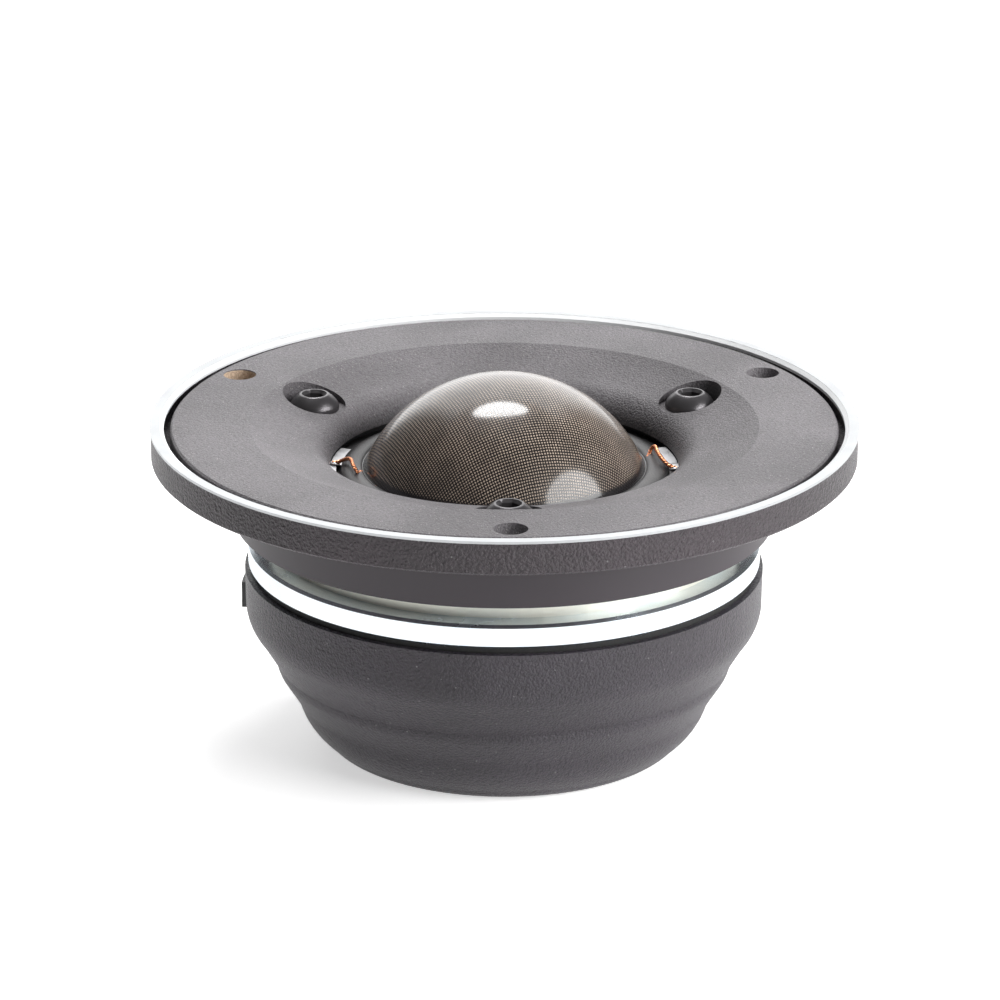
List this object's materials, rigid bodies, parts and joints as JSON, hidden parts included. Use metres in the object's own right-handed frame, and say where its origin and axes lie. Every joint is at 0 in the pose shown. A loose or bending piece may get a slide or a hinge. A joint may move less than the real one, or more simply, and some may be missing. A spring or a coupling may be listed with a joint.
{
  "type": "car tweeter",
  "caption": "Large-format soft-dome tweeter: round flanged faceplate with a shallow waveguide, ring-magnet motor and stepped rear chamber, for a panel cut-out.",
  "frame": {"origin": "centre of the flat base of the rear chamber", "axes": "+Z along the driver's axis, out of the dome; one mounting hole and one faceplate screw lie on the -Y side"},
  "size_m": [0.0952, 0.0952, 0.0512],
  "materials": {
    "flange_black": "coarse black powder coat",
    "faceplate_black": "fine dark grey powder coat",
    "neck_black": "smooth satin black",
    "chamber_black": "wrinkled black powder coat",
    "bright_trim": "diamond-cut",
    "nickel_plate": "satin nickel plate",
    "zinc_steel": "clear zinc plate",
    "black_screw": "black oxide",
    "plain_screw": "zinc plate",
    "copper": "bare copper",
    "tinned_brass": "tin plate",
    "former_alloy": "thin rolled foil",
    "dome_cloth": "fine woven mesh with a glossy damping coat",
    "surround_cloth": "coated black cloth",
    "felt": "pressed felt",
    "wadding": "loose wool wadding",
    "black_plastic": "moulded, matte",
    "gasket_foam": "closed-cell foam",
    "red_insulation": "smooth insulation",
    "black_insulation": "smooth insulation"
  },
  "bodies": {
    "motor": {"rear_chamber": "chamber_black", "chamber_wadding": "wadding", "chamber_gasket": "gasket_foam", "chamber_screws": "plain_screw", "yoke": "zinc_steel", "copper_cap": "copper", "pole_felt": "felt", "magnet": "nickel_plate", "top_plate": "zinc_steel", "basket": "neck_black", "flange": "flange_black", "trim_ring": "bright_trim", "faceplate": "faceplate_black", "faceplate_gasket": "gasket_foam", "faceplate_screws": "black_screw", "diaphragm_ring": "black_plastic", "surround": "surround_cloth", "solder_tab_left": "tinned_brass", "solder_tab_right": "tinned_brass", "lead_wire_left": "copper", "lead_wire_right": "copper", "terminal_block": "black_plastic", "positive_terminal": "tinned_brass", "negative_terminal": "tinned_brass", "positive_wire": "red_insulation", "negative_wire": "black_insulation"},
    "diaphragm": {"dome": "dome_cloth", "voice_coil_former": "former_alloy", "voice_coil_winding": "copper"}
  },
  "joints": [
    {"name": "dome_travel", "type": "slide", "parent": "motor", "child": "diaphragm", "axis": [0, 0, 1], "range_m": [-0.0006, 0.0006], "stiffness_N_per_m": 200, "deforming": ["surround", "lead_wire_left", "lead_wire_right"]}
  ]
}
